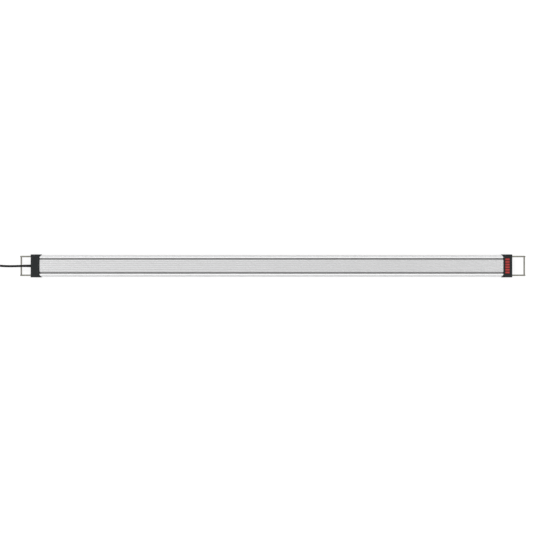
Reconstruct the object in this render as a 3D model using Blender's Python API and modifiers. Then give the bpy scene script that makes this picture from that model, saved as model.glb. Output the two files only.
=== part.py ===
"""LED light bar: a slim aluminium channel with a pull-out wire bracket at each end and a low-voltage lead.

The channel runs along X and stands on the cross bars of its two wire brackets, at Z = 0. Its light
shines down through a clear cover. Dimensions are in millimetres and MM turns them into metres.
"""

import math

import bmesh
import bpy
from mathutils import Vector

MM = 0.001
GAP = 0.3

# The bar from end cap to end cap, and how far each wire bracket is pulled out.
BODY_LENGTH = 953.0
REACH_LEFT = 20.9
REACH_RIGHT = 26.1
CENTRE_X = (REACH_LEFT - REACH_RIGHT) / 2
CAP_FACE = BODY_LENGTH / 2

# Wire brackets.
WIRE_R = 1.5
WIRE_SIDES = 12
WIRE_BEND_R = 4.0
LEG_Y = 18.6
CROSS_BAR_Z = WIRE_R
LEG_Z = CROSS_BAR_Z + 13.0
FULL_REACH = 80.4
PADDLE = (6.0, 3.4, 5.0)
PADDLE_LAP = 1.0
STOP_CLEARANCE = 0.5

# Aluminium channel section.
RAIL_Y = 21.6
CHANNEL_BOTTOM = 6.0
CHANNEL_TOP = 21.0
RAIL_EDGE_R = 1.5
RAIL_FLAT_Y = 18.4
SLOT_INNER_Y = 12.3
SLOT_OUTER_Y = 15.5
SLOT_FLOOR_Z = 16.5
SLOT_LIP_Z = 20.2
DECK_Z = 20.4
DECK_EDGE_Z = 19.9
RIB_PITCH = 4.0
RIB_COUNT = 6
RIB_HEIGHT = 0.5
RIB_BASE = 2.4
RIB_CREST = 0.8
WEB_Z = 14.4
RAIL_BLOCK_Z = 10.7
SKIRT_INNER_Y = 20.0
LIP_Y = 18.0
LIP_Z = 7.2
LEG_DUCT = (4.4, 5.6)
PORT_Y = 9.0
PORT_Z = 18.0
PORT_R = 1.35
WIRE_DUCT_Y = 5.5
WIRE_DUCT_Z = (16.4, 18.9)

# End caps.
CAP_HALF_WIDTH = 22.75
CAP_DEPTH = 17.4
CAP_WING = 3.6
CAP_WING_Y = 17.0
CAP_BOTTOM = 4.8
CAP_TOP = 22.6
CAP_EDGE = 0.6
END_WALL = 3.5
GASKET = 1.0
CHANNEL_HALF = CAP_FACE - END_WALL - GASKET - 2 * GAP
CABLE_HOLE_R = 3.05

# Recess in the top of each cap: its distance from the cap's face, its length and its half width.
LEFT_PANEL = (3.5, 9.9, 18.8)
RIGHT_PANEL = (5.2, 8.8, 15.8)
PANEL_RECESS = 0.8
INSERT_RIBS = 6
INSERT_CREST = CAP_TOP + 0.3
INSERT_VALLEY = CAP_TOP - 0.35
INSERT_RISE = (0.12, 0.22)

# Cap screws: a pan head in a round seat, and a shank in the channel's screw port.
SCREW_HEAD_R = 2.6
SCREW_HEAD_DROP = 0.3
SCREW_HEAD_HEIGHT = 1.4
SCREW_SHANK_R = 1.0
SCREW_LENGTH = 12.0
SCREW_SEAT = (3.0, 2.0)
SCREW_HOLE_R = 1.5
CROSS_RECESS = (1.5, 0.3, 0.8)

# Bracket sleeves.
SLEEVE_LENGTH = 42.6
SLEEVE_INSET = 0.4
SLEEVE = (4.1, 5.3)
SLEEVE_CORNER_R = 0.5
SLEEVE_BORE_R = 1.67

# Light engine.
COVER = (19.7, 7.5, 9.0)
SEAL_Y = (18.4, 19.7)
BOARD_SPAN = 898.0
BOARD_COUNT = 3
BOARD_GAP = 1.0
BOARD_HALF_WIDTH = 15.0
BOARD_Z = (11.7, 13.3)
PAD_Z = (13.6, 14.1)
PAD_MARGIN = 1.0
BOARD_LENGTH = (BOARD_SPAN - (BOARD_COUNT - 1) * BOARD_GAP) / BOARD_COUNT
LED_COLUMNS = 14
LED_ROW_Y = 7.0
LED_SIZE = 5.0
LED_HEIGHT = 1.0
LINK = (10.0, 3.0, 1.8)
SOCKET = (3.0, 6.0, 4.0)
REGULATOR = (28.0, 5.0, 3.0, 1.2)

# Lead: 1.8 m of 4.4 mm cable.
CORD_R = 2.2
CORD_Z = 11.7
RELIEF_LENGTH = 16.0
RELIEF_R = 2.75
RELIEF_FLANGE = (1.5, 4.6, 2.35)
RELIEF_END = 0.4
LEAD_R = 0.6
LEAD_DROP = 1.2
LEAD_BOW = 2.4
FREE_ROUTE = [
    (-510, -0.5, 11.2), (-525, -0.6, 10.2), (-540, 0.1, 8.9), (-552, 1.9, 7.7),
    (-564, 5.0, 6.1), (-577, 9.9, 4.1), (-588, 14.4, 2.6), (-596, 17.5, CORD_R),
]

# Hank of spare lead: columns of cable around two end loops, pinched at the waist by a tie.
CORD_PITCH = 4.6
HANK_COLUMNS = 3
HANK_HEIGHT = 9.2
LOOP_R = 13.4
WAIST_BEND_R = 23.0
LOOP_SPACING = 84.0
HANK_NEAR_END = -592.0
HANK_Y = -1.0
TIE_WIDTH = 10.0
TIE_THICKNESS = 0.9
TIE_ROOM = 1.2

# Plug, beside the waist of the hank.
PLUG_INSET = 16.0
PLUG_R = 5.0
PLUG_BODY = 20.0
PLUG_TAIL = 10.0
PLUG_EDGE = 0.8
BARREL_LENGTH = 9.5
BARREL_R = (2.0, 2.75)
CORE_R = (1.05, 1.7)
CORE_INSET = 0.5

COLLECTION = "led_strip_batten"
CUTTERS = "cutters"

ALUMINIUM = ("anodised_aluminium", (0.66, 0.66, 0.665), 0.3, 1.0)
BLACK_PLASTIC = ("black_plastic", (0.012, 0.0135, 0.014), 0.55, 0.0)
STEEL = ("stainless_wire", (0.30, 0.29, 0.26), 0.34, 1.0)
CLEAR = ("clear_cover", (0.90, 0.93, 0.95), 0.08, 0.0)
SILICONE = ("silicone", (0.35, 0.36, 0.37), 0.6, 0.0)
BOARD_WHITE = ("board_white", (0.85, 0.85, 0.82), 0.4, 0.0)
PAD_GREY = ("thermal_pad", (0.45, 0.50, 0.58), 0.8, 0.0)
NYLON = ("natural_nylon", (0.78, 0.76, 0.70), 0.4, 0.0)
RED = ("red_insert", (0.36, 0.030, 0.027), 0.4, 0.0)
COPPER_RED = ("red_lead", (0.5, 0.02, 0.02), 0.45, 0.0)
RUBBER = ("cable_jacket", (0.006, 0.006, 0.0065), 0.6, 0.0)
NICKEL = ("nickel_plate", (0.72, 0.70, 0.66), 0.25, 1.0)
TIE_GREY = ("tie_strap", (0.05, 0.05, 0.055), 0.9, 0.0)


def clear_scene():
    for old in list(bpy.data.objects):
        bpy.data.objects.remove(old, do_unlink=True)


def collection(name):
    found = bpy.data.collections.get(name)
    if found is None:
        found = bpy.data.collections.new(name)
        bpy.context.scene.collection.children.link(found)
    return found


def material(name, colour, roughness, metallic):
    found = bpy.data.materials.get(name)
    if found is None:
        found = bpy.data.materials.new(name)
        found.use_nodes = True
        shader = found.node_tree.nodes["Principled BSDF"]
        shader.inputs["Base Color"].default_value = (*colour, 1.0)
        shader.inputs["Roughness"].default_value = roughness
        shader.inputs["Metallic"].default_value = metallic
    return found


def place(name, data, finish, at=(0.0, 0.0, 0.0), turn=(0.0, 0.0, 0.0)):
    """A part made of data, at a place in millimetres and turned by degrees."""
    obj = bpy.data.objects.new(name, data)
    obj.location = Vector(at) * MM
    obj.rotation_euler = [math.radians(angle) for angle in turn]
    data.materials.append(material(*finish))
    collection(COLLECTION).objects.link(obj)
    return obj


def as_cutter(obj):
    """Moves a part to the cutters, where it only shapes other parts."""
    collection(COLLECTION).objects.unlink(obj)
    collection(CUTTERS).objects.link(obj)
    obj.hide_render = True
    obj.display_type = "WIRE"
    return obj


def combine(target, cutter, operation="DIFFERENCE"):
    modifier = target.modifiers.new(f"{operation.lower()}_{cutter.name}", "BOOLEAN")
    modifier.operation = operation
    modifier.solver = "EXACT"
    modifier.object = as_cutter(cutter)


def round_edges(obj, width, segments=2):
    modifier = obj.modifiers.new("rounded_edges", "BEVEL")
    modifier.width = width * MM
    modifier.segments = segments
    modifier.limit_method = "ANGLE"
    modifier.angle_limit = math.radians(35)


def smooth(mesh):
    mesh.shade_smooth()
    mesh.set_sharp_from_angle(angle=math.radians(35))


def boxes_mesh(name, boxes):
    """One mesh of boxes, each given as (low, high) along X, Y and Z."""
    shape = bmesh.new()
    for sides in boxes:
        middle = Vector([(low + high) / 2 for low, high in sides]) * MM
        size = Vector([high - low for low, high in sides]) * MM
        corners = bmesh.ops.create_cube(shape, size=1.0)["verts"]
        bmesh.ops.scale(shape, vec=size, verts=corners)
        bmesh.ops.translate(shape, vec=middle, verts=corners)
    mesh = bpy.data.meshes.new(name)
    shape.to_mesh(mesh)
    shape.free()
    return mesh


def box(name, x, y, z, finish, edge=0.0):
    obj = place(name, boxes_mesh(name, [(x, y, z)]), finish)
    if edge:
        round_edges(obj, edge)
    return obj


def outline_curve(name, outlines, thickness):
    """A flat 2D curve of closed outlines, the later ones holes in the first, with a thickness."""
    curve = bpy.data.curves.new(name, "CURVE")
    curve.dimensions = "2D"
    curve.fill_mode = "BOTH"
    curve.extrude = thickness / 2 * MM
    curve.render_resolution_u = 0
    for outline in outlines:
        spline = curve.splines.new("POLY")
        spline.points.add(len(outline) - 1)
        spline.use_cyclic_u = True
        for point, (u, v) in zip(spline.points, outline):
            point.co = (u * MM, v * MM, 0.0, 1.0)
    return curve


def along_x(name, outlines, x, finish):
    """A section given as (Y, Z) outlines, drawn out along X between two places."""
    curve = outline_curve(name, outlines, abs(x[1] - x[0]))
    return place(name, curve, finish, ((x[0] + x[1]) / 2, 0, 0), (90, 0, 90))


def along_z(name, outline, z, finish):
    """A plan given as an (X, Y) outline, raised between two heights."""
    curve = outline_curve(name, [outline], z[1] - z[0])
    return place(name, curve, finish, (0, 0, (z[0] + z[1]) / 2))


def as_mesh(obj):
    """The same part with its curve made a closed mesh, so that it can be bevelled, cut and joined."""
    bpy.context.view_layer.update()
    graph = bpy.context.evaluated_depsgraph_get()
    mesh = bpy.data.meshes.new_from_object(obj.evaluated_get(graph))
    shape = bmesh.new()
    shape.from_mesh(mesh)
    bmesh.ops.remove_doubles(shape, verts=shape.verts, dist=0.001 * MM)
    bmesh.ops.recalc_face_normals(shape, faces=shape.faces)
    shape.to_mesh(mesh)
    shape.free()
    name = obj.name
    frame = obj.matrix_world.copy()
    bpy.data.objects.remove(obj, do_unlink=True)
    solid = bpy.data.objects.new(name, mesh)
    solid.matrix_world = frame
    collection(COLLECTION).objects.link(solid)
    return solid


def turned(name, profile, finish, at, turn, segments=24, hollow=False):
    """A profile of (radius, height) from top to bottom, turned about its own Z axis."""
    mesh = bpy.data.meshes.new(name)
    points = [(radius * MM, 0.0, height * MM) for radius, height in profile]
    edges = [(k, k + 1) for k in range(len(points) - 1)]
    if hollow:
        edges.append((len(points) - 1, 0))
    mesh.from_pydata(points, edges, [])
    obj = place(name, mesh, finish, at, turn)
    screw = obj.modifiers.new("turned", "SCREW")
    screw.steps = segments
    screw.render_steps = segments
    screw.use_merge_vertices = True
    screw.merge_threshold = 0.01 * MM
    screw.use_smooth_shade = True
    return obj


def arc(centre, radius, start, stop, steps):
    """Points on an arc between two angles in degrees, both ends included."""
    angles = [math.radians(start + (stop - start) * k / steps) for k in range(steps + 1)]
    return [(centre[0] + radius * math.cos(a), centre[1] + radius * math.sin(a)) for a in angles]


def circle(centre, radius, sides):
    return arc(centre, radius, 0, 360, sides)[:-1]


def rounded_rectangle(centre, size, radius, steps=2):
    half = (size[0] / 2 - radius, size[1] / 2 - radius)
    outline = []
    for quarter, (side_u, side_v) in enumerate([(1, 1), (-1, 1), (-1, -1), (1, -1)]):
        corner = (centre[0] + side_u * half[0], centre[1] + side_v * half[1])
        outline += arc(corner, radius, 90 * quarter, 90 * quarter + 90, steps)
    return outline


def both_halves(half):
    """A whole outline from the half of it at positive Y, given from bottom to top."""
    return half + [(-y, z) for y, z in reversed(half)]


def smooth_route(points, step):
    """Evenly read points of a Catmull-Rom curve through the given ones."""
    ends = [2 * points[0] - points[1], *points, 2 * points[-1] - points[-2]]
    fine = []
    for a, b, c, d in zip(ends, ends[1:], ends[2:], ends[3:]):
        for k in range(20):
            t = k / 20
            fine.append(
                0.5 * (2 * b + (c - a) * t + (2 * a - 5 * b + 4 * c - d) * t**2
                       + (3 * b - a - 3 * c + d) * t**3)
            )
    fine.append(points[-1])
    lengths = [0.0]
    for a, b in zip(fine, fine[1:]):
        lengths.append(lengths[-1] + (b - a).length)
    count = round(lengths[-1] / step)
    route = []
    for k in range(count + 1):
        target = lengths[-1] * k / count
        i = next((n for n, so_far in enumerate(lengths) if so_far >= target - 1e-9), len(fine) - 1)
        if i == 0:
            route.append(fine[0])
            continue
        share = (target - lengths[i - 1]) / (lengths[i] - lengths[i - 1])
        route.append(fine[i - 1].lerp(fine[i], share))
    return route


def tube(name, points, radius, finish, resolution=2, tilt=0.0, at=(0, 0, 0), turn=(0, 0, 0)):
    """A round bar along points in millimetres, with filled ends."""
    curve = bpy.data.curves.new(name, "CURVE")
    curve.dimensions = "3D"
    curve.bevel_depth = radius * MM
    curve.bevel_resolution = resolution
    curve.use_fill_caps = True
    curve.render_resolution_u = 0
    spline = curve.splines.new("POLY")
    spline.points.add(len(points) - 1)
    for point, place_mm in zip(spline.points, points):
        point.co = (*(Vector(place_mm) * MM), 1.0)
        point.tilt = math.radians(tilt)
    return place(name, curve, finish, at, turn)


def channel_section():
    """The channel's outline and the ducts that run through it."""
    half = [
        (SLOT_OUTER_Y, WEB_Z),
        (SLOT_OUTER_Y, RAIL_BLOCK_Z),
        (SKIRT_INNER_Y, RAIL_BLOCK_Z),
        (SKIRT_INNER_Y, LIP_Z),
        (LIP_Y, LIP_Z),
        (LIP_Y, CHANNEL_BOTTOM),
        (RAIL_Y, CHANNEL_BOTTOM),
    ]
    half += arc((RAIL_Y - RAIL_EDGE_R, CHANNEL_TOP - RAIL_EDGE_R), RAIL_EDGE_R, 0, 90, 4)
    half += [
        (RAIL_FLAT_Y, CHANNEL_TOP),
        (SLOT_OUTER_Y, SLOT_LIP_Z),
        (SLOT_OUTER_Y, SLOT_FLOOR_Z),
        (SLOT_INNER_Y, SLOT_FLOOR_Z),
        (SLOT_INNER_Y, DECK_EDGE_Z),
    ]
    for rib in reversed(range(RIB_COUNT // 2)):
        middle = (rib + 0.5) * RIB_PITCH
        half += [
            (middle + RIB_BASE / 2, DECK_Z),
            (middle + RIB_CREST / 2, DECK_Z + RIB_HEIGHT),
            (middle - RIB_CREST / 2, DECK_Z + RIB_HEIGHT),
            (middle - RIB_BASE / 2, DECK_Z),
        ]
    duct_size = (2 * WIRE_DUCT_Y, WIRE_DUCT_Z[1] - WIRE_DUCT_Z[0])
    ducts = [rounded_rectangle((0, sum(WIRE_DUCT_Z) / 2), duct_size, 0.8)]
    for side in (-1, 1):
        ducts.append(rounded_rectangle((side * LEG_Y, LEG_Z), LEG_DUCT, 0.6))
        ducts.append(circle((side * PORT_Y, PORT_Z), PORT_R, 12))
    return [both_halves(half), *ducts]


def build_channel():
    ends = (CENTRE_X - CHANNEL_HALF, CENTRE_X + CHANNEL_HALF)
    along_x("housing_channel", channel_section(), ends, ALUMINIUM)
    inner = (ends[0] + GAP, ends[1] - GAP)
    box("lens_cover", inner, (-COVER[0], COVER[0]), COVER[1:], CLEAR)
    seal_z = (COVER[2] + GAP, RAIL_BLOCK_Z - GAP)
    box("cover_seal_front", inner, (-SEAL_Y[1], -SEAL_Y[0]), seal_z, SILICONE)
    box("cover_seal_rear", inner, SEAL_Y, seal_z, SILICONE)


def build_light_engine():
    first = CENTRE_X - BOARD_SPAN / 2
    underside = BOARD_Z[0]
    for index in range(BOARD_COUNT):
        start = first + index * (BOARD_LENGTH + BOARD_GAP)
        x = (start, start + BOARD_LENGTH)
        y = (-BOARD_HALF_WIDTH, BOARD_HALF_WIDTH)
        board = box(f"led_board_{index + 1}", x, y, BOARD_Z, BOARD_WHITE)
        pitch = BOARD_LENGTH / LED_COLUMNS
        packages = []
        for column in range(LED_COLUMNS):
            middle = start + (column + 0.5) * pitch
            for row in (-LED_ROW_Y, LED_ROW_Y):
                packages.append((
                    (middle - LED_SIZE / 2, middle + LED_SIZE / 2),
                    (row - LED_SIZE / 2, row + LED_SIZE / 2),
                    (underside - LED_HEIGHT, underside + GAP),
                ))
        name = f"led_packages_{index + 1}"
        combine(board, place(name, boxes_mesh(name, packages), BOARD_WHITE), "UNION")
        pad_y = (PAD_MARGIN / 2 - BOARD_HALF_WIDTH, BOARD_HALF_WIDTH - PAD_MARGIN / 2)
        box(f"thermal_pad_{index + 1}", (x[0] + PAD_MARGIN, x[1] - PAD_MARGIN), pad_y, PAD_Z, PAD_GREY)
        if index:
            length, half_width, height = LINK
            middle = start - BOARD_GAP / 2
            box(f"board_link_{index}", (middle - length / 2, middle + length / 2),
                (-half_width, half_width), (underside - GAP - height, underside - GAP), NYLON, 0.3)
    inset, length, half_width = SOCKET
    socket_x = (first + inset, first + inset + length)
    socket_z = (COVER[2] + GAP, underside - GAP)
    box("power_socket", socket_x, (-half_width, half_width), socket_z, NYLON, 0.25)
    inset, length, half_width, height = REGULATOR
    box("current_regulator", (first + inset, first + inset + length), (-half_width, half_width),
        (underside - GAP - height, underside - GAP), BLACK_PLASTIC, 0.2)
    relief_end = CENTRE_X - CAP_FACE + END_WALL + GAP + RELIEF_FLANGE[0] + GAP
    for name, side, finish in (("lead_positive", 1, COPPER_RED), ("lead_negative", -1, RUBBER)):
        bow = side * LEAD_BOW
        route = [
            Vector((relief_end, side, CORD_Z)),
            Vector((relief_end + 6, side * 1.3, CORD_Z)),
            Vector((relief_end + 12, bow, CORD_Z - LEAD_DROP / 2)),
            Vector((socket_x[0] - 6, bow, CORD_Z - LEAD_DROP)),
            Vector((socket_x[0] - GAP, side * 2.0, CORD_Z - LEAD_DROP)),
        ]
        tube(name, smooth_route(route, 2.5), LEAD_R, finish)


def cap_plan(side):
    inner = CAP_FACE - CAP_DEPTH
    half = [
        (CAP_FACE, CAP_HALF_WIDTH),
        (inner - CAP_WING, CAP_HALF_WIDTH),
        (inner, CAP_WING_Y),
    ]
    plan = half + [(x, -y) for x, y in reversed(half)]
    return [(CENTRE_X + side * x, y) for x, y in plan]


def across(side, low, high):
    """An X span at one end of the bar, from distances to the bar's middle."""
    return tuple(sorted((CENTRE_X + side * low, CENTRE_X + side * high)))


def build_end_cap(name, side, panel):
    cap = as_mesh(along_z(f"end_cap_{name}", cap_plan(side), (CAP_BOTTOM, CAP_TOP), BLACK_PLASTIC))
    round_edges(cap, CAP_EDGE)
    inside = across(side, CAP_FACE - CAP_DEPTH - 2 * CAP_WING, CAP_FACE - END_WALL)
    cavity_y = (-RAIL_Y - GAP, RAIL_Y + GAP)
    cavity_z = (CHANNEL_BOTTOM - GAP, CHANNEL_TOP + GAP)
    combine(cap, box(f"cavity_{name}", inside, cavity_y, cavity_z, BLACK_PLASTIC))
    wall = across(side, CAP_FACE - END_WALL - 1, CAP_FACE + 1)
    window = [dimension + 2 * GAP for dimension in SLEEVE]
    openings = [
        (wall, (row * LEG_Y - window[0] / 2, row * LEG_Y + window[0] / 2),
         (LEG_Z - window[1] / 2, LEG_Z + window[1] / 2))
        for row in (-1, 1)
    ]
    panel_inset, panel_length, panel_half_width = panel
    panel_end = CAP_FACE - panel_inset
    recess = across(side, panel_end - panel_length, panel_end)
    openings.append((recess, (-panel_half_width, panel_half_width),
                     (CAP_TOP - PANEL_RECESS, CAP_TOP + 1)))
    windows = f"windows_{name}"
    combine(cap, place(windows, boxes_mesh(windows, openings), BLACK_PLASTIC))
    seat_r, seat_depth = SCREW_SEAT
    through = -END_WALL - 1
    for row, label in ((-1, "front"), (1, "rear")):
        head_room = [(0, 1), (seat_r, 1), (seat_r, -seat_depth), (SCREW_HOLE_R, -seat_depth),
                     (SCREW_HOLE_R, through), (0, through)]
        at = (CENTRE_X + side * CAP_FACE, row * PORT_Y, PORT_Z)
        drill = turned(f"drill_{name}_{label}", head_room, BLACK_PLASTIC, at, (0, 90 * side, 0), 16)
        combine(cap, drill)
    if side < 0:
        at = (CENTRE_X - CAP_FACE, 0, CORD_Z)
        drill = [(0, 1), (CABLE_HOLE_R, 1), (CABLE_HOLE_R, through), (0, through)]
        combine(cap, turned("drill_cable", drill, BLACK_PLASTIC, at, (0, -90, 0), 20))


def build_cap_screw(name, side, row):
    top = -SCREW_HEAD_DROP
    under = top - SCREW_HEAD_HEIGHT
    profile = [
        (0, top), (SCREW_HEAD_R - 0.5, top), (SCREW_HEAD_R, top - 0.5), (SCREW_HEAD_R, under),
        (SCREW_SHANK_R, under), (SCREW_SHANK_R, 0.8 - SCREW_LENGTH), (0.4, -SCREW_LENGTH),
        (0, -SCREW_LENGTH),
    ]
    at = (CENTRE_X + side * CAP_FACE, row * PORT_Y, PORT_Z)
    screw = turned(f"cap_screw_{name}", profile, STEEL, at, (0, 90 * side, 0), 12)
    reach, half_width, depth = CROSS_RECESS
    mouth = across(side, CAP_FACE + top - depth, CAP_FACE + top + 1)
    slots = [
        (mouth, (at[1] - reach, at[1] + reach), (at[2] - half_width, at[2] + half_width)),
        (mouth, (at[1] - half_width, at[1] + half_width), (at[2] - reach, at[2] + reach)),
    ]
    for label, slot in zip(("across", "upright"), slots):
        combine(screw, box(f"recess_{name}_{label}", *slot, STEEL))


def build_gasket(name, side, with_cable):
    """A flat gasket the shape of the channel's end, notched around the brackets' sleeves."""
    half_width = RAIL_Y - 0.6
    sleeve_top = LEG_Z + SLEEVE[1] / 2 + 1.05
    half = [
        (half_width, CHANNEL_BOTTOM + 0.4), (half_width, RAIL_BLOCK_Z), (SLOT_OUTER_Y, RAIL_BLOCK_Z),
        (SLOT_OUTER_Y, sleeve_top), (half_width, sleeve_top), (half_width - 1.2, CHANNEL_TOP - 0.6),
    ]
    holes = [circle((row * PORT_Y, PORT_Z), SCREW_HOLE_R, 12) for row in (-1, 1)]
    if with_cable:
        window = [2 * side_length + 1.0 for side_length in (RELIEF_FLANGE[1], 2.6)]
        holes.append(rounded_rectangle((0, CORD_Z), window, 0.5))
    inner = CAP_FACE - END_WALL - GAP
    along_x(f"end_gasket_{name}", [both_halves(half), *holes],
            across(side, inner - GASKET, inner), SILICONE)


def build_sleeves(name, side):
    outer = CAP_FACE - SLEEVE_INSET
    for row, label in ((-1, "front"), (1, "rear")):
        centre = (row * LEG_Y, LEG_Z)
        section = [rounded_rectangle(centre, SLEEVE, SLEEVE_CORNER_R), circle(centre, SLEEVE_BORE_R, 20)]
        along_x(f"bracket_sleeve_{name}_{label}", section,
                across(side, outer - SLEEVE_LENGTH, outer), BLACK_PLASTIC)


def bracket_route(leg_length):
    """Half of a bracket's wire, from the inner end of its leg to the middle of the cross bar."""
    drop = LEG_Z - CROSS_BAR_Z
    upper = arc((-WIRE_BEND_R, -WIRE_BEND_R), WIRE_BEND_R, 90, 0, 5)
    lower = arc((LEG_Y - WIRE_BEND_R, WIRE_BEND_R - drop), WIRE_BEND_R, 0, -90, 5)
    route = [(-leg_length, LEG_Y, 0.0)]
    route += [(x, LEG_Y, z) for x, z in upper]
    route += [(0.0, y, z) for y, z in lower]
    return route


def build_bracket(name, side, reach):
    sleeve_end = SLEEVE_INSET + SLEEVE_LENGTH
    leg_length = FULL_REACH + sleeve_end + STOP_CLEARANCE + PADDLE_LAP
    half = bracket_route(leg_length)
    route = half + [(x, -y, z) for x, y, z in reversed(half)]
    flat_r = WIRE_R / math.cos(math.pi / WIRE_SIDES)
    at = (CENTRE_X + side * (CAP_FACE + reach), 0, LEG_Z)
    wire = as_mesh(tube(f"wire_bracket_{name}", route, flat_r, STEEL, resolution=4,
                        tilt=180 / WIRE_SIDES, at=at, turn=(0, 0, 0 if side > 0 else 180)))
    end = (CAP_FACE + reach) - leg_length
    for row, label in ((-1, "front"), (1, "rear")):
        x = across(side, end + PADDLE_LAP - PADDLE[0], end + PADDLE_LAP)
        y = (row * LEG_Y - PADDLE[1] / 2, row * LEG_Y + PADDLE[1] / 2)
        z = (LEG_Z - PADDLE[2] / 2, LEG_Z + PADDLE[2] / 2)
        combine(wire, box(f"paddle_{name}_{label}", x, y, z, STEEL, 0.4), "UNION")
    smooth(wire.data)


def build_panels():
    """The blank panel let into the left cap and the ribbed insert in the right one."""
    floor = CAP_TOP - PANEL_RECESS + GAP
    inset, length, half_width = LEFT_PANEL
    x = across(-1, CAP_FACE - inset - length + GAP, CAP_FACE - inset - GAP)
    y = (GAP - half_width, half_width - GAP)
    box("cap_panel_left", x, y, (floor, CAP_TOP), BLACK_PLASTIC, 0.15)
    inset, length, half_width = RIGHT_PANEL
    x = across(1, CAP_FACE - inset - length + GAP, CAP_FACE - inset - GAP)
    half_width -= GAP
    pitch = 2 * half_width / INSERT_RIBS
    foot, shoulder = (share * pitch for share in INSERT_RISE)
    comb = [(half_width, floor), (-half_width, floor), (-half_width, INSERT_VALLEY)]
    for rib in range(INSERT_RIBS):
        start = -half_width + rib * pitch
        comb += [
            (start + foot, INSERT_VALLEY), (start + shoulder, INSERT_CREST),
            (start + pitch - shoulder, INSERT_CREST), (start + pitch - foot, INSERT_VALLEY),
        ]
    comb.append((half_width, INSERT_VALLEY))
    along_x("cap_insert_right", [comb], x, RED)


def build_strain_relief():
    tip = RELIEF_LENGTH
    flange = -END_WALL - GAP
    profile = [
        (0, tip), (CORD_R + 0.2, tip), (CORD_R + 0.35, tip - 0.6), (RELIEF_R, 1.0),
        (RELIEF_R, flange - RELIEF_END), (0, flange - RELIEF_END),
    ]
    at = (CENTRE_X - CAP_FACE, 0, CORD_Z)
    relief = turned("strain_relief", profile, BLACK_PLASTIC, at, (0, -90, 0), 20)
    thickness, half_width, half_height = RELIEF_FLANGE
    flange_x = across(-1, CAP_FACE + flange - thickness, CAP_FACE + flange)
    flange_z = (CORD_Z - half_height, CORD_Z + half_height)
    plate = box("relief_flange", flange_x, (-half_width, half_width), flange_z, BLACK_PLASTIC)
    combine(relief, plate, "UNION")


def hank_outline():
    """The outer edge of the hank: two end loops joined by hollow curves to a narrow waist."""
    columns = (HANK_COLUMNS - 1) * CORD_PITCH + CORD_PITCH / 2
    waist = CORD_PITCH / 2
    across_centres = LOOP_R + WAIST_BEND_R
    rise = waist + WAIST_BEND_R
    run = math.sqrt(across_centres**2 - rise**2)
    reach = math.degrees(math.atan2(rise, -run))
    loop_r = LOOP_R + columns
    bend_r = WAIST_BEND_R - columns
    loop_x = LOOP_SPACING / 2
    right_loop = arc((loop_x, 0), loop_r, -reach, reach, 16)
    top_right = arc((loop_x - run, rise), bend_r, reach - 180, -90, 4)[1:]
    low_right = [(x, -y) for x, y in reversed(top_right)]
    right_half = low_right + right_loop + top_right
    left_half = [(-x, -y) for x, y in right_half]
    middle_x = hank_middle()
    return [(middle_x + x, HANK_Y + y) for x, y in right_half + left_half]


def hank_middle():
    outer = LOOP_R + (HANK_COLUMNS - 0.5) * CORD_PITCH
    return HANK_NEAR_END - outer - LOOP_SPACING / 2


def build_lead():
    start = CENTRE_X - CAP_FACE - RELIEF_LENGTH - GAP
    route = [Vector(point) for point in ((start, 0, CORD_Z), *FREE_ROUTE)]
    tube("supply_cord", smooth_route(route, 2.5 * CORD_R * 2), CORD_R, RUBBER)
    middle = hank_middle()
    hank = as_mesh(along_z("cord_hank", hank_outline(), (0, HANK_HEIGHT), RUBBER))
    half_tie = TIE_WIDTH / 2
    notch_x = (middle - half_tie - GAP, middle + half_tie + GAP)
    notch_y = (HANK_Y - LOOP_SPACING / 2, HANK_Y + LOOP_SPACING / 2)
    combine(hank, box("tie_notch", notch_x, notch_y, (-1, TIE_THICKNESS + GAP), RUBBER))
    inner_y = HANK_COLUMNS * CORD_PITCH + GAP
    inner_z = HANK_HEIGHT + TIE_ROOM
    strap = [(inner_y + TIE_THICKNESS, 0), (inner_y + TIE_THICKNESS, inner_z + TIE_THICKNESS)]
    strap = [(HANK_Y + y, z) for y, z in both_halves(strap)]
    hole = [(inner_y, TIE_THICKNESS), (inner_y, inner_z)]
    hole = [(HANK_Y + y, z) for y, z in both_halves(hole)]
    along_x("cord_tie", [strap, hole], (middle - half_tie, middle + half_tie), TIE_GREY)


def build_plug():
    cord_y = HANK_Y - LOOP_R - (HANK_COLUMNS - 1) * CORD_PITCH
    tail_x = hank_middle() - LOOP_SPACING / 2 + PLUG_INSET
    face = -PLUG_TAIL - PLUG_BODY
    profile = [
        (0, 0), (CORD_R + 0.2, 0), (CORD_R + 0.6, -1.0), (CORD_R + 1.1, 1.0 - PLUG_TAIL),
        (PLUG_R - PLUG_EDGE, -PLUG_TAIL), (PLUG_R, -PLUG_TAIL - PLUG_EDGE),
        (PLUG_R, face + PLUG_EDGE), (PLUG_R - PLUG_EDGE, face), (0, face),
    ]
    turned("plug_body", profile, BLACK_PLASTIC, (tail_x, cord_y, PLUG_R), (0, -90, 0))
    at = (tail_x - face + GAP, cord_y, PLUG_R)
    for name, radii, length, finish, segments in (
        ("plug_barrel", BARREL_R, BARREL_LENGTH, NICKEL, 20),
        ("plug_insulator", CORE_R, BARREL_LENGTH - CORE_INSET, NYLON, 16),
    ):
        bore, outside = radii
        ring = [(outside, 0), (outside, -length), (bore, -length), (bore, 0)]
        turned(name, ring, finish, at, (0, -90, 0), segments, hollow=True)


def main():
    clear_scene()
    build_channel()
    build_light_engine()
    ends = (("left", -1, REACH_LEFT, LEFT_PANEL), ("right", 1, REACH_RIGHT, RIGHT_PANEL))
    for name, side, reach, panel in ends:
        build_end_cap(name, side, panel)
        for row, label in ((-1, "front"), (1, "rear")):
            build_cap_screw(f"{name}_{label}", side, row)
        build_gasket(name, side, with_cable=side < 0)
        build_sleeves(name, side)
        build_bracket(name, side, reach)
    build_panels()
    build_strain_relief()
    build_lead()
    build_plug()


main()
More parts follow.
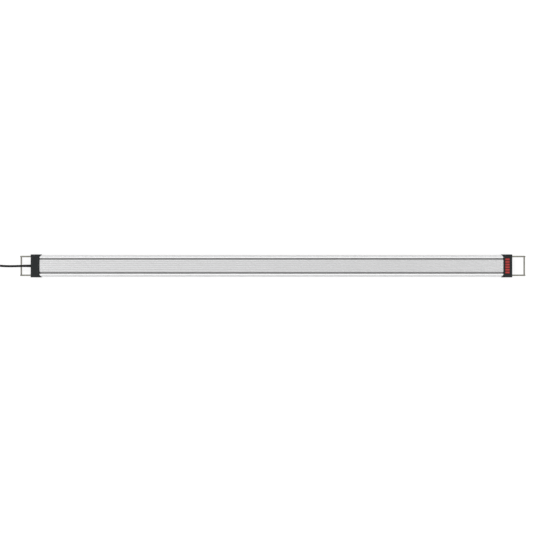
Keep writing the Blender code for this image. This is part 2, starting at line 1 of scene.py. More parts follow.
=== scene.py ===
"""Looks of the LED light bar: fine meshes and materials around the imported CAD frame.

Lengths are in millimetres, as in the part's own drawing, and MM turns them into metres. Only the
floor, the lamps, the textures' scales and the lead's length are in metres.
"""

import math

import bmesh
import bpy
from mathutils import Matrix, Vector


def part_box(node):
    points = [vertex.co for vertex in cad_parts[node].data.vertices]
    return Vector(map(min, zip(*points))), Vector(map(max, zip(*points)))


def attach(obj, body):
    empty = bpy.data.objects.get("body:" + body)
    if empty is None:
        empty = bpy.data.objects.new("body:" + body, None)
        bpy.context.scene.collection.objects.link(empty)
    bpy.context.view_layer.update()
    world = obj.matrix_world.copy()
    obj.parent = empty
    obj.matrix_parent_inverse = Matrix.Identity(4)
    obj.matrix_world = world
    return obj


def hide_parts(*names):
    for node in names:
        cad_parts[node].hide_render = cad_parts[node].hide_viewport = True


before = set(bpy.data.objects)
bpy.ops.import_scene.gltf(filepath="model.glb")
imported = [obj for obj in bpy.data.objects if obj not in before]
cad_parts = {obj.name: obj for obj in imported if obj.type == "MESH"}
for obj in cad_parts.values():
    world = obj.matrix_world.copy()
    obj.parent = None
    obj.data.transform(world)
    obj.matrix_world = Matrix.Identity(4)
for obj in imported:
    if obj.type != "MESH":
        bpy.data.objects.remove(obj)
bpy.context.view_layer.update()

MM = 0.001
HOUSING = "housing"


def node_box(node):
    """A CAD node's lowest and highest corners, in millimetres."""
    low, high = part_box(node)
    return low / MM, high / MM


CHANNEL_LOW, CHANNEL_HIGH = node_box("housing_channel")
CAP_LEFT_LOW, CAP_LEFT_HIGH = node_box("end_cap_left")
CAP_RIGHT_HIGH = node_box("end_cap_right")[1]
BAR_X = (CHANNEL_LOW.x + CHANNEL_HIGH.x) / 2
CAP_FACE = CAP_RIGHT_HIGH.x - BAR_X
BAR_LEFT = BAR_X - CAP_FACE

# Channel section, from the part's drawing.
RAIL_Y = CHANNEL_HIGH.y
RAIL_FLAT_Y, RAIL_EDGE_R = 18.4, 1.5
SLOT_INNER_Y, SLOT_OUTER_Y = 12.3, 15.5
SLOT_FLOOR_Z = 16.5
SLOT_LIP_Z = 20.2
DECK_Z, DECK_EDGE_Z = 20.4, 19.9
RIB_PITCH, RIB_COUNT, RIB_HEIGHT, RIB_BASE, RIB_CREST = 4.0, 6, 0.5, 2.4, 0.8
WEB_Z, RAIL_BLOCK_Z = 14.4, 10.7
SKIRT_INNER_Y, LIP_Y, LIP_Z = 20.0, 18.0, 7.2
LEG_Y, LEG_Z = 18.6, 14.5
LEG_DUCT = (4.4, 5.6)
PORT_Y, PORT_Z, PORT_R = 9.0, 18.0, 1.35
WIRE_DUCT_Y, WIRE_DUCT_Z = 5.5, (16.4, 18.9)

# End caps and brackets.
CAP_DEPTH, CAP_WING, CAP_WING_Y = 17.4, 3.6, 17.0
CAP_BOTTOM, CAP_TOP = CAP_LEFT_LOW.z, CAP_LEFT_HIGH.z
END_WALL = 3.5
CAP_EDGE = 0.7
PANEL_RECESS, PANEL_FLARE, PANEL_RIM = 0.8, 0.2, 0.6
INSERT_BARS, INSERT_RISE, INSERT_GROOVE = 6, (0.12, 0.22), 0.65
# Normal heights of the sloping faces that get a painted highlight.
HIGHLIGHT_SLOPES = (0.1, 0.95)
GAP = 0.3
SLEEVE_WINDOW, SLEEVE_CORNER = (4.7, 5.9), 0.5
SCREW_SEAT = [(0, 1.0), (3.3, 1.0), (3.0, -0.35), (3.0, -2.0), (1.5, -2.0), (1.5, -5.0), (0, -5.0)]
CABLE_HOLE = [(0, 1.0), (3.4, 1.0), (3.05, -0.4), (3.05, -END_WALL - 1), (0, -END_WALL - 1)]
WIRE_R, WIRE_BEND_R = 1.5, 4.0
PADDLE_LENGTH, PADDLE_HALF_Y, PADDLE_HALF_Z = 5.0, 1.7, 2.5

# Cap screws: top and tip from the cap's face, head, thread and recess from the top.
SCREW_TOP, SCREW_TIP = -0.3, -12
PAN_HEAD = [(0, 0), (0.9, 0.02), (1.7, 0.16), (2.25, 0.42), (2.55, 0.8), (2.6, 1.2), (2.6, 1.4),
            (1.0, 1.4)]
THREAD_START, THREAD_TURNS, THREAD_PITCH = 1.9, 9, 1.05
THREAD_CREST_R, THREAD_ROOT_R = 1.0, 0.82
CROSS_ARM, CROSS_HALF_WIDTH, CROSS_DEPTH = 1.5, 0.3, 0.8

# Light engine. The boards lie face down, and what is soldered to them reaches a little into them.
BOARD_THICK, BITE = 1.6, 0.02
LED_COLUMNS, LED_ROW_Y = 14, 7.0
LED_HALF, LED_LIP, LED_HEIGHT, LED_CUP, LED_SLOPE = 2.5, 2.0, 1.0, 0.25, 0.25
LED_TAB, LED_TAB_X, LED_TAB_Z = (0.45, 1.7), 2.75, 0.22
PHOSPHOR_FILL = [(0, 0.02), (0.8, 0.03), (1.35, 0.07), (1.68, 0.2)]
RUN_INSET, RUN_HALF_WIDTH, COPPER_Z = 3.4, 0.8, 0.05
CHIP, CHIP_END, CHIP_END_X, CHIP_Z = (0.75, 0.8), (0.5, 0.8), 1.25, 0.55
BUS_INSET, BUS_Y, BUS_HALF_WIDTH = 2.0, 12.6, 1.0
END_PAD, END_PAD_INSET, END_PAD_Y, END_PAD_Z = (1.4, 0.9), 2.5, 4.6, 0.12

# Connectors, with widths as shares of one way's width.
ENTRY_SHARE, ENTRY_DEPTH, ENTRY_BELOW, ENTRY_ABOVE = 0.28, 1.2, 0.45, 0.35
WINDOW_SHARE, WINDOW_HALF, WINDOW_DEPTH = 0.2, 0.9, 0.35

# Inner wires: (along from the near end or the far end, to the side, above the lead).
INNER_WIRE_R = 0.6
INNER_WIRE_NEAR = [(0, 1.0, 0), (6, 1.3, 0), (12, 2.4, -0.6)]
INNER_WIRE_FAR = [(-5.7, 2.4, -1.2), (0, 2.0, -1.2)]

# Lead, along the route in the part's drawing and then onto the hank.
CORD_R, CORD_Z, CORD_LENGTH = 2.2, 11.7, 1.8
FREE_ROUTE = [
    (-510, -0.5, 11.2), (-525, -0.6, 10.2), (-540, 0.1, 8.9), (-552, 1.9, 7.7), (-564, 5.0, 6.1),
    (-577, 9.9, 4.1), (-588, 14.4, 2.6), (-596, 17.5, CORD_R), (-606, 20.4, CORD_R),
]
CORD_PITCH, LAYER_STEP = 4.6, 4.5
LOOP_R, WAIST_BEND_R, LOOP_SPACING = 13.4, 23.0, 84.0

# Hank: the column and layer of each turn, how finely its arcs are drawn, the shares of a turn's last
# arc over which it moves to the next column and layer, and how far the tie under it lifts it.
HANK_SLOTS = [(2, 0), (1, 0), (0, 0), (0, 1), (1, 1), (2, 1)]
LOOP_STEPS, WAIST_STEPS, STRAIGHT_STEPS = 28, 9, 4
COLUMN_SHIFT, MOVE_IN_FROM = 0.35, 0.65
CLIMB_FROM, CLIMB_SHIFT = 0.3, 0.4
TIE_LIFT, TIE_REACH, TIE_RAMP = 1.2, 16.0, 10.0

# Strain relief, plug and tie.
RELIEF_GROOVES, RELIEF_FIRST, RELIEF_LAST = 5, 3.2, 2.2
RELIEF_WALL, RELIEF_TAPER, RELIEF_GROOVE = 0.33, 0.2, 0.28
RELIEF_NECK_R, RELIEF_FLANGE_Y, RELIEF_FLANGE_Z = 2.75, 4.6, 2.35
RELIEF_INNER = -END_WALL - GAP - 0.4
PLUG_TAIL, PLUG_RINGS, PLUG_RING_STEP = 10.0, 4, 1.9
GRIP_GROOVES, GRIP_GROOVE, GRIP_FROM = 16, [(0, 0), (0.35, 0.3), (0.35, 10.7), (0, 11)], 15.0
BARREL_R, BARREL_BORE_R, CORE_R, CORE_BORE_R = 2.75, 2.0, 1.7, 1.05
TIE_THICK, TIE_CORNER, TIE_INNER_CORNER, LAP_INSET = 0.9, 3.0, 2.1, 0.25


# ---------------------------------------------------------------- camera, stage and light

VIEW_WIDTH = 1055.0
CAMERA_DISTANCE = 4100.0
VIEW_CENTRE = (-12.45, -1.2)
ROOM_LIGHT = 0.81
FLOOR_HALF, FLOOR_Z = 4.0, -0.0002
FLOOR_PAINT, FLOOR_GLOW = 0.28, 0.785
SOFT_BOXES = [
    ("soft_box_front", (0, -2.05, 2.7), (3.2, 0.9), 12.0),
    ("soft_box_rear", (0, 2.05, 2.7), (3.2, 0.9), 13.0),
    ("soft_box_low", (-1.0, 3.2, 1.5), (2.4, 0.8), 3.9),
    ("soft_box_top", (0, 0, 6.0), (3.4, 0.8), 2.2),
    ("soft_box_left", (-2.2, 0, 3.4), (1.0, 2.0), 14.0),
    ("soft_box_right", (2.2, 0, 3.4), (1.0, 2.0), 9.5),
]


def build_camera():
    data = bpy.data.cameras.new("overhead_camera")
    data.sensor_width = 36.0
    data.lens = data.sensor_width * CAMERA_DISTANCE / VIEW_WIDTH
    data.clip_end = 50.0
    camera = bpy.data.objects.new("overhead_camera", data)
    camera.location = Vector((*VIEW_CENTRE, DECK_Z + CAMERA_DISTANCE)) * MM
    bpy.context.scene.collection.objects.link(camera)
    bpy.context.scene.camera = camera


def build_floor():
    """A plain white floor, open from below. It glows a little, as a lit sweep does, so no shadow greys it."""
    mesh = bpy.data.meshes.new("floor")
    corners = [(-1, -1), (1, -1), (1, 1), (-1, 1)]
    mesh.from_pydata([(u * FLOOR_HALF, v * FLOOR_HALF, 0) for u, v in corners], [], [(0, 1, 2, 3)])
    floor = bpy.data.objects.new("floor", mesh)
    floor.location.z = FLOOR_Z
    paint = bpy.data.materials.new("floor_white")
    paint.use_nodes = True
    nodes, links = paint.node_tree.nodes, paint.node_tree.links
    shader = nodes["Principled BSDF"]
    shader.inputs["Base Color"].default_value = (FLOOR_PAINT, FLOOR_PAINT, FLOOR_PAINT, 1)
    shader.inputs["Roughness"].default_value = 0.9
    shader.inputs["Specular IOR Level"].default_value = 0.0
    shader.inputs["Emission Color"].default_value = (1, 1, 1, 1)
    shader.inputs["Emission Strength"].default_value = FLOOR_GLOW
    clear = nodes.new("ShaderNodeBsdfTransparent")
    choice = nodes.new("ShaderNodeMixShader")
    side = nodes.new("ShaderNodeNewGeometry")
    links.new(side.outputs["Backfacing"], choice.inputs["Fac"])
    links.new(shader.outputs["BSDF"], choice.inputs[1])
    links.new(clear.outputs["BSDF"], choice.inputs[2])
    links.new(choice.outputs["Shader"], nodes["Material Output"].inputs["Surface"])
    mesh.materials.append(paint)
    bpy.context.scene.collection.objects.link(floor)


def build_lights():
    """An even room and soft boxes: one along each side of the bar, one beyond each end, one overhead.

    The low one, behind the bar's left half, picks out the ribs of the deck.
    """
    world = bpy.data.worlds.new("white_room")
    world.use_nodes = True
    room = world.node_tree.nodes["Background"]
    room.inputs["Color"].default_value = (1.0, 1.0, 1.0, 1)
    room.inputs["Strength"].default_value = ROOM_LIGHT
    bpy.context.scene.world = world
    bpy.context.scene.view_settings.view_transform = "Standard"
    for name, at, size, energy in SOFT_BOXES:
        data = bpy.data.lights.new(name, "AREA")
        data.shape = "RECTANGLE"
        data.size, data.size_y = size
        data.energy = energy
        light = bpy.data.objects.new(name, data)
        light.location = at
        light.rotation_euler = Vector([-c for c in at]).to_track_quat("-Z", "Y").to_euler()
        light.visible_camera = False
        bpy.context.scene.collection.objects.link(light)


# ---------------------------------------------------------------- materials


class Paint:
    """A procedural material: a Principled shader and the nodes that vary it over the surface."""

    def __init__(self, name, colour, roughness, metallic=0.0):
        self.material = bpy.data.materials.new(name)
        self.material.use_nodes = True
        self.nodes = self.material.node_tree.nodes
        self.links = self.material.node_tree.links
        self.shader = self.nodes["Principled BSDF"]
        self.shader.inputs["Metallic"].default_value = metallic
        self.colour = colour
        self.roughness = roughness
        self.place = self.nodes.new("ShaderNodeTexCoord").outputs["Object"]
        self.heights = []

    def noise(self, scale, stretch=(1, 1, 1), detail=3.0):
        """Noise over the object, so many grains to the metre, drawn out along an axis."""
        mapping = self.nodes.new("ShaderNodeMapping")
        mapping.inputs["Scale"].default_value = [scale * s for s in stretch]
        self.links.new(self.place, mapping.inputs["Vector"])
        noise = self.nodes.new("ShaderNodeTexNoise")
        noise.inputs["Scale"].default_value = 1.0
        noise.inputs["Detail"].default_value = detail
        noise.inputs["Roughness"].default_value = 0.55
        self.links.new(mapping.outputs["Vector"], noise.inputs["Vector"])
        return noise.outputs["Fac"]

    def spread(self, value, low, high, start=0.3, stop=0.7):
        """A value remapped from start..stop to low..high."""
        remap = self.nodes.new("ShaderNodeMapRange")
        remap.inputs["From Min"].default_value = start
        remap.inputs["From Max"].default_value = stop
        remap.inputs["To Min"].default_value = low
        remap.inputs["To Max"].default_value = high
        self.links.new(value, remap.inputs["Value"])
        return remap.outputs["Result"]

    def vary_colour(self, value, amount, tint=None):
        """The base colour, from a little darker to a little lighter, or towards a tint."""
        mix = self.nodes.new("ShaderNodeMix")
        mix.data_type = "RGBA"
        dark = [c * (1 - amount) for c in self.colour]
        light = tint or [min(1.0, c * (1 + amount)) for c in self.colour]
        mix.inputs["A"].default_value = (*dark, 1)
        mix.inputs["B"].default_value = (*light, 1)
        self.links.new(value, mix.inputs["Factor"])
        self.links.new(mix.outputs["Result"], self.shader.inputs["Base Color"])
        return self

    def vary_roughness(self, value, amount):
        low, high = self.roughness - amount, self.roughness + amount
        self.links.new(self.spread(value, low, high), self.shader.inputs["Roughness"])
        return self

    def bump(self, value, height, strength=0.4):
        """Raises the surface by the value, height in millimetres."""
        bump = self.nodes.new("ShaderNodeBump")
        bump.inputs["Distance"].default_value = height * MM
        bump.inputs["Strength"].default_value = strength
        self.links.new(value, bump.inputs["Height"])
        if self.heights:
            self.links.new(self.heights[-1], bump.inputs["Normal"])
        self.heights.append(bump.outputs["Normal"])
        self.links.new(bump.outputs["Normal"], self.shader.inputs["Normal"])
        return self

    def set(self, socket, value):
        self.shader.inputs[socket].default_value = value
        return self


def brushed_aluminium(name="anodised_aluminium_fine", colour=(0.65, 0.65, 0.654)):
    paint = Paint(name, colour, 0.29, 1.0)
    streaks = paint.noise(1.0, (2, 2600, 2600), detail=4)
    paint.vary_colour(paint.spread(streaks, 0, 1), 0.03)
    paint.vary_roughness(streaks, 0.05)
    paint.bump(streaks, 0.02, 0.12)
    return paint.material


def moulded_black(name="black_plastic_fine", colour=(0.0095, 0.0118, 0.0126), grain=1800):
    paint = Paint(name, colour, 0.55)
    paint.set("IOR", 1.33)
    grains = paint.noise(grain, detail=4)
    patches = paint.noise(60, detail=2)
    paint.vary_colour(paint.spread(patches, 0, 1), 0.12)
    paint.vary_roughness(grains, 0.07)
    paint.bump(grains, 0.05, 0.3)
    return paint.material


def drawn_steel():
    paint = Paint("stainless_wire_fine", (0.23, 0.225, 0.195), 0.34, 1.0)
    lines = paint.noise(1.0, (40, 1500, 1500), detail=3)
    spots = paint.noise(220, detail=3)
    paint.vary_colour(paint.spread(spots, 0, 1), 0.08)
    paint.vary_roughness(lines, 0.07)
    paint.bump(lines, 0.02, 0.2)
    return paint.material


def red_plastic(name="red_insert_fine", colour=(0.40, 0.032, 0.028)):
    paint = Paint(name, colour, 0.38)
    paint.set("Specular IOR Level", 0.3)
    grains = paint.noise(1500, detail=3)
    patches = paint.noise(90, detail=2)
    paint.vary_colour(paint.spread(patches, 0, 1), 0.08)
    paint.vary_roughness(grains, 0.06)
    paint.bump(grains, 0.03, 0.25)
    return paint.material


def cable_rubber():
    paint = Paint("cable_jacket_fine", (0.004, 0.004, 0.0043), 0.62)
    paint.set("IOR", 1.25)
    grains = paint.noise(900, detail=3)
    scuffs = paint.noise(140, detail=4)
    paint.vary_colour(paint.spread(scuffs, 0, 1, 0.45, 0.75), 0.10, (0.010, 0.010, 0.011))
    paint.vary_roughness(scuffs, 0.08)
    paint.bump(grains, 0.04, 0.3)
    return paint.material


def acrylic():
    paint = Paint("clear_cover_fine", (0.96, 0.975, 0.98), 0.06)
    haze = paint.noise(14, detail=2)
    paint.vary_colour(paint.spread(haze, 0, 1), 0.015)
    paint.vary_roughness(haze, 0.025)
    paint.set("Transmission Weight", 1.0).set("IOR", 1.49)
    return paint.material


def soft_plastic(name, colour, roughness, grain=1200, amount=0.06, depth=0.04):
    paint = Paint(name, colour, roughness)
    grains = paint.noise(grain, detail=3)
    patches = paint.noise(grain / 12, detail=2)
    paint.vary_colour(paint.spread(patches, 0, 1), amount)
    paint.vary_roughness(grains, 0.05)
    paint.bump(grains, depth, 0.3)
    return paint.material


def plated(name, colour, roughness):
    paint = Paint(name, colour, roughness, 1.0)
    marks = paint.noise(700, detail=3)
    paint.vary_colour(paint.spread(marks, 0, 1), 0.05)
    paint.vary_roughness(marks, 0.05)
    return paint.material


def strap_fabric():
    """Hook-and-loop tape: a close weave under short loops."""
    paint = Paint("tie_strap_fine", (0.045, 0.045, 0.05), 0.92)
    loops = paint.noise(2600, detail=2)
    mapping = paint.nodes.new("ShaderNodeMapping")
    mapping.inputs["Scale"].default_value = (1500, 1500, 1500)
    paint.links.new(paint.place, mapping.inputs["Vector"])
    weave = paint.nodes.new("ShaderNodeTexChecker")
    weave.inputs["Scale"].default_value = 1.0
    paint.links.new(mapping.outputs["Vector"], weave.inputs["Vector"])
    paint.vary_colour(paint.spread(loops, 0, 1), 0.3, (0.085, 0.085, 0.09))
    paint.vary_roughness(loops, 0.04)
    paint.bump(weave.outputs["Fac"], 0.10, 0.35)
    paint.bump(loops, 0.15, 0.5)
    paint.set("Sheen Weight", 0.4).set("Sheen Roughness", 0.5)
    return paint.material


# ---------------------------------------------------------------- mesh tools


def in_scene(name, data):
    """A new object in the scene."""
    obj = bpy.data.objects.new(name, data)
    bpy.context.scene.collection.objects.link(obj)
    return obj


def paint_faces(mesh, chosen):
    """Gives the chosen faces the second of a mesh's materials."""
    for face in mesh.polygons:
        if chosen(face):
            face.material_index = 1


def finish_piece(name, mesh, paints, slot, *replaced, body=HOUSING, smooth_angle=35):
    """An object made of mesh, painted, riding on a body and standing for CAD nodes."""
    for paint in paints:
        mesh.materials.append(paint)
    mesh.shade_smooth()
    mesh.set_sharp_from_angle(angle=math.radians(smooth_angle))
    piece = in_scene(name, mesh)
    flat = piece.modifiers.new("flat_faces_stay_flat", "WEIGHTED_NORMAL")
    flat.keep_sharp = True
    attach(piece, body)
    if replaced:
        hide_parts(*replaced)
    return piece


def arc(centre, radius, start, stop, steps):
    """Points on an arc between two angles in degrees, both ends included."""
    angles = [math.radians(start + (stop - start) * k / steps) for k in range(steps + 1)]
    return [(centre[0] + radius * math.cos(a), centre[1] + radius * math.sin(a)) for a in angles]


def circle(centre, radius, sides):
    return arc(centre, radius, 0, 360, sides)[:-1]


def filleted(corners, steps=3):
    """A closed outline whose corners, given as (u, v, radius), are rounded."""
    outline = []
    count = len(corners)
    for k, (u, v, radius) in enumerate(corners):
        here = Vector((u, v))
        before = Vector(corners[k - 1][:2]) - here
        after = Vector(corners[(k + 1) % count][:2]) - here
        if radius == 0:
            outline.append((u, v))
            continue
        angle = before.angle(after)
        reach = min(radius / math.tan(angle / 2), before.length * 0.49, after.length * 0.49)
        radius = reach * math.tan(angle / 2)
        start = here + before.normalized() * reach
        stop = here + after.normalized() * reach
        centre = here + (before.normalized() + after.normalized()).normalized() * (
            radius / math.sin(angle / 2))
        for step in range(steps + 1):
            point = start.lerp(stop, step / steps) - centre
            outline.append(tuple(centre + point.normalized() * radius))
    return outline


def rounded_rectangle(centre, size, radius, steps=4):
    half_u, half_v = size[0] / 2, size[1] / 2
    corners = [(1, 1), (-1, 1), (-1, -1), (1, -1)]
    return filleted([(centre[0] + u * half_u, centre[1] + v * half_v, radius)
                     for u, v in corners], steps)


def both_halves(half):
    """A whole outline from its half at positive Y, given from bottom to top."""
    return half + [(-y, *rest) for y, *rest in reversed(half)]


def clean(mesh):
    """Closes the seams of a mesh made from a curve or a turned profile."""
    shape = bmesh.new()
    shape.from_mesh(mesh)
    bmesh.ops.remove_doubles(shape, verts=shape.verts, dist=0.001 * MM)
    bmesh.ops.recalc_face_normals(shape, faces=shape.faces)
    shape.to_mesh(mesh)
    shape.free()
    return mesh


def evaluated_mesh(obj):
    """An object's final mesh in the scene's own axes. The object itself is removed."""
    bpy.context.view_layer.update()
    graph = bpy.context.evaluated_depsgraph_get()
    mesh = bpy.data.meshes.new_from_object(obj.evaluated_get(graph), depsgraph=graph)
    mesh.transform(obj.matrix_world)
    mesh.materials.clear()
    bpy.data.objects.remove(obj, do_unlink=True)
    return mesh


def section_mesh(name, outlines, x):
    """A section of (Y, Z) outlines in millimetres, the later ones holes, drawn out along X."""
    curve = bpy.data.curves.new(name, "CURVE")
    curve.dimensions = "2D"
    curve.fill_mode = "BOTH"
    curve.extrude = (x[1] - x[0]) / 2 * MM
    for outline in outlines:
        spline = curve.splines.new("POLY")
        spline.points.add(len(outline) - 1)
        spline.use_cyclic_u = True
        for point, (u, v) in zip(spline.points, outline):
            point.co = (u * MM, v * MM, 0, 1)
    obj = in_scene(name, curve)
    turn = Matrix(((0, 0, 1), (1, 0, 0), (0, 1, 0))).to_4x4()
    obj.matrix_world = Matrix.Translation(((x[0] + x[1]) / 2 * MM, 0, 0)) @ turn
    return clean(evaluated_mesh(obj))


def mesh_from(shape, name):
    """The mesh of a bmesh shape, which is freed."""
    mesh = bpy.data.meshes.new(name)
    shape.to_mesh(mesh)
    shape.free()
    return mesh


def box_mesh(name, low, high, edge=0.0, segments=2):
    """A box between two corners in millimetres, its edges rounded."""
    shape = bmesh.new()
    bmesh.ops.create_cube(shape, size=1.0)
    low, high = Vector(low), Vector(high)
    bmesh.ops.scale(shape, vec=(high - low) * MM, verts=shape.verts)
    bmesh.ops.translate(shape, vec=(high + low) / 2 * MM, verts=shape.verts)
    if edge:
        bmesh.ops.bevel(shape, geom=shape.edges, offset=edge * MM, segments=segments,
                        profile=0.5, affect="EDGES")
    return mesh_from(shape, name)


def slab(name, centre, half, z, edge=0.0):
    """A flat box about a centre in plan, between two heights, its edges chamfered."""
    low = (centre[0] - half[0], centre[1] - half[1], z[0])
    high = (centre[0] + half[0], centre[1] + half[1], z[1])
    return box_mesh(name, low, high, edge, 1)


def lofted(rings):
    """A closed shape between rings of points in millimetres, each ring with as many points."""
    shape = bmesh.new()
    loops = [[shape.verts.new([c * MM for c in point]) for point in ring] for ring in rings]
    for loop, following in zip(loops, loops[1:]):
        for k in range(len(loop)):
            n = (k + 1) % len(loop)
            shape.faces.new((loop[k], loop[n], following[n], following[k]))
    shape.faces.new(loops[0])
    shape.faces.new(loops[-1])
    bmesh.ops.recalc_face_normals(shape, faces=shape.faces)
    return shape


def turned_mesh(name, profile, at, direction, sides=40):
    """A profile of (radius, distance) turned about an axis through at, along a direction."""
    shape = bmesh.new()
    verts = [shape.verts.new((radius * MM, 0, along * MM)) for radius, along in profile]
    edges = [shape.edges.new(pair) for pair in zip(verts, verts[1:])]
    bmesh.ops.spin(shape, geom=verts + edges, cent=(0, 0, 0), axis=(0, 0, 1),
                   angle=2 * math.pi, steps=sides, use_merge=True)
    bmesh.ops.remove_doubles(shape, verts=shape.verts, dist=0.001 * MM)
    bmesh.ops.recalc_face_normals(shape, faces=shape.faces)
    turn = Vector(direction).to_track_quat("Z", "Y").to_matrix().to_4x4()
    bmesh.ops.transform(shape, matrix=Matrix.Translation(Vector(at) * MM) @ turn,
                        verts=shape.verts)
    return mesh_from(shape, name)


def joined(name, meshes):
    """One mesh from pairs of a material slot and the mesh that takes it."""
    shape = bmesh.new()
    for index, mesh in meshes:
        first = len(shape.faces)
        shape.from_mesh(mesh)
        shape.faces.ensure_lookup_table()
        for face in shape.faces[first:]:
            face.material_index = index
        bpy.data.meshes.remove(mesh)
    return mesh_from(shape, name)


def carved(mesh, cutters):
    """A mesh with other meshes cut out of it."""
    target = in_scene("carving", mesh)
    tools = []
    for k, cutter in enumerate(cutters):
        tool = in_scene(f"cutter_{k}", cutter)
        cut = target.modifiers.new(f"cut_{k}", "BOOLEAN")
        cut.operation, cut.solver, cut.object = "DIFFERENCE", "EXACT", tool
        tools.append(tool)
    result = evaluated_mesh(target)
    for tool in tools:
        bpy.data.objects.remove(tool, do_unlink=True)
    return result


def round_curve(name, points, radius, resolution):
    """A curve along points in millimetres, drawn as a closed round bar."""
    curve = bpy.data.curves.new(name, "CURVE")
    curve.dimensions = "3D"
    curve.bevel_depth = radius * MM
    curve.bevel_resolution = resolution
    curve.use_fill_caps = True
    spline = curve.splines.new("POLY")
    spline.points.add(len(points) - 1)
    for point, where in zip(spline.points, points):
        point.co = (*(Vector(where) * MM), 1.0)
    return curve


def tube_mesh(name, points, radius, sides):
    """A smooth round bar along points in millimetres."""
    curve = round_curve(name, points, radius, (sides - 4) // 2)
    return clean(evaluated_mesh(in_scene(name, curve)))


def smooth_route(points, per_span=8):
    """Points of a Catmull-Rom curve through the given ones."""
    points = [Vector(p) for p in points]
    ends = [2 * points[0] - points[1], *points, 2 * points[-1] - points[-2]]
    route = []
    for a, b, c, d in zip(ends, ends[1:], ends[2:], ends[3:]):
        for k in range(per_span):
            t = k / per_span
            route.append(0.5 * (2 * b + (c - a) * t + (2 * a - 5 * b + 4 * c - d) * t**2
                                + (3 * b - a - 3 * c + d) * t**3))
    route.append(points[-1])
    return route


# ---------------------------------------------------------------- the lead


def smoothstep(value):
    value = min(1.0, max(0.0, value))
    return value * value * (3 - 2 * value)


def hank_middle():
    """The middle of the hank, from its CAD solid's box."""
    low, high = node_box("cord_hank")
    return (low + high) / 2


def hank_turn(columns, layers, last):
    """One turn of the hank, anticlockwise from the top of its near loop.

    columns and layers say which column and layer the turn starts and ends in. The change is made
    on the near loop, at the end of the turn: first the upper turns move out, then the innermost
    climbs, and then the lower turns move in, so that none passes through another. The last turn
    ends at the bottom of the far loop, where the plug's tail begins.
    """
    loop_x = LOOP_SPACING / 2
    waist = CORD_PITCH / 2
    rise = waist + WAIST_BEND_R
    run = math.sqrt((LOOP_R + WAIST_BEND_R) ** 2 - rise**2)
    reach = math.degrees(math.atan2(rise, -run))

    def stretch(centre, start, stop, outer, share=False):
        """An arc about a fixed centre whose radius follows the column."""
        steps = LOOP_STEPS if outer else WAIST_STEPS
        for k in range(steps):
            t = k / steps
            column, height = columns[0], layers[0]
            if share:
                begin = 0 if columns[1] > columns[0] else MOVE_IN_FROM
                column += (columns[1] - columns[0]) * smoothstep((t - begin) / COLUMN_SHIFT)
                height += (layers[1] - layers[0]) * smoothstep((t - CLIMB_FROM) / CLIMB_SHIFT)
            radius = LOOP_R + column * CORD_PITCH if outer else WAIST_BEND_R - column * CORD_PITCH
            angle = math.radians(start + (stop - start) * t)
            x = centre[0] + radius * math.cos(angle)
            y = centre[1] + radius * math.sin(angle)
            yield x, y, height

    inner_x = loop_x - run
    offset = waist + columns[0] * CORD_PITCH
    straight = [inner_x * (1 - 2 * k / STRAIGHT_STEPS) for k in range(STRAIGHT_STEPS)]
    route = list(stretch((loop_x, 0), 90, reach, True))
    route += list(stretch((inner_x, rise), reach - 180, -90, False))
    route += [(x, offset, layers[0]) for x in straight]
    route += list(stretch((-inner_x, rise), -90, -reach, False))
    if last:
        return route + list(stretch((-loop_x, 0), 180 - reach, 270, True))
    route += list(stretch((-loop_x, 0), 180 - reach, 180 + reach, True))
    route += list(stretch((-inner_x, -rise), reach, 90, False))
    route += [(-x, -offset, layers[0]) for x in straight]
    route += list(stretch((inner_x, -rise), 90, 180 - reach, False))
    route += list(stretch((loop_x, 0), -reach, 90, True, share=True))
    return route


def hank_route():
    """The centreline of the folded lead: in by the outer column below, out by the outer one above."""
    middle = hank_middle()
    route = []
    for (column, layer), (next_column, next_layer) in zip(HANK_SLOTS, HANK_SLOTS[1:]):
        route += hank_turn((column, next_column), (layer, next_layer), last=False)
    column, layer = HANK_SLOTS[-1]
    route += hank_turn((column, column), (layer, layer), last=True)
    points = []
    for x, y, layer in route:
        lift = TIE_LIFT * smoothstep((TIE_REACH - abs(x)) / TIE_RAMP)
        points.append(Vector((middle.x + x, middle.y + y, CORD_R + layer * LAYER_STEP + lift)))
    return points


def build_lead(rubber):
    """The lead, from the strain relief along its free route and round the hank into the plug."""
    relief_low, _ = node_box("strain_relief")
    plug_low, plug_high = node_box("plug_body")
    plug_y, plug_z = (plug_low.y + plug_high.y) / 2, (plug_low.z + plug_high.z) / 2
    hank = hank_route()
    far_loop = hank_middle().x - LOOP_SPACING / 2
    start = Vector((relief_low.x + 3, 0, CORD_Z))
    free = smooth_route([start, *FREE_ROUTE, hank[0]], 6)[:-1]
    tail = [Vector((far_loop, plug_y, CORD_R + LAYER_STEP)),
            Vector((far_loop + 7, plug_y, CORD_R + 0.85 * LAYER_STEP)),
            Vector((plug_low.x + 3, plug_y, plug_z))]
    points = [*free, *hank, *smooth_route(tail, 4)]
    curve = round_curve("supply_lead", points, CORD_R, 4)
    curve.materials.append(rubber)
    lead = in_scene("supply_lead", curve)
    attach(lead, HOUSING)
    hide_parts("supply_cord", "cord_hank")
    return lead


# ---------------------------------------------------------------- channel and light engine


